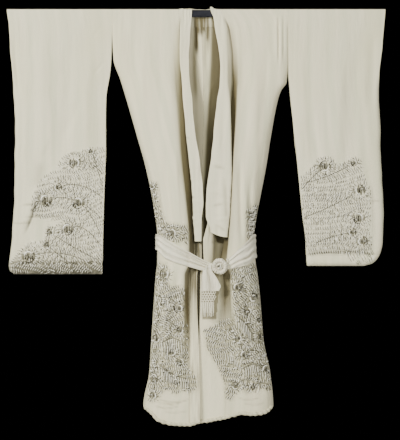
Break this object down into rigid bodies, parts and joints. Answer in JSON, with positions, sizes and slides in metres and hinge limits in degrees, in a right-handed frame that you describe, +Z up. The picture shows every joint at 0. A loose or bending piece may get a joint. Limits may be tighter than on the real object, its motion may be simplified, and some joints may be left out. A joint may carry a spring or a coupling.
{
  "type": "silk kimono robe on a hanging bar",
  "caption": "Wide-sleeved silk robe with long collar bands and padded hem, tied with a netted sash and hung through the sleeves on a flat padded bar.",
  "frame": {"origin": "middle of the hanging bar, by which the whole part is held up", "axes": "+Z up; -Y towards the front of the robe; +X towards the wearer's left, along the bar"},
  "size_m": [1.285, 0.1456, 1.4127],
  "materials": {
    "robe_silk": "matt ivory silk crepe with raised silver, white and grey silk embroidery on the skirt and lower sleeves",
    "collar_silk": "plain ivory silk crepe, folded double",
    "sash_silk": "ivory silk with a faint sheen, knotted into a net with a twisted fringe",
    "bar_cloth": "dark blue-grey cotton velvet over a flat padded bar"
  },
  "bodies": {
    "root": {"display_bar": "bar_cloth", "neck_band": "collar_silk", "sash_back": "sash_silk", "sash_knot": "sash_silk", "sash_tail": "sash_silk", "sash_net": "sash_silk", "sash_fringe": "sash_silk", "right_front_panel": "robe_silk", "right_front_overlap": "robe_silk", "right_back_panel": "robe_silk", "right_collar": "collar_silk", "right_sleeve_front": "robe_silk", "right_sleeve_back": "robe_silk", "right_front_hem_roll": "robe_silk", "right_back_hem_roll": "robe_silk", "right_sash_front": "sash_silk", "left_front_panel": "robe_silk", "left_front_overlap": "robe_silk", "left_back_panel": "robe_silk", "left_collar": "collar_silk", "left_sleeve_front": "robe_silk", "left_sleeve_back": "robe_silk", "left_front_hem_roll": "robe_silk", "left_back_hem_roll": "robe_silk", "left_sash_front": "sash_silk"}
  },
  "joints": []
}
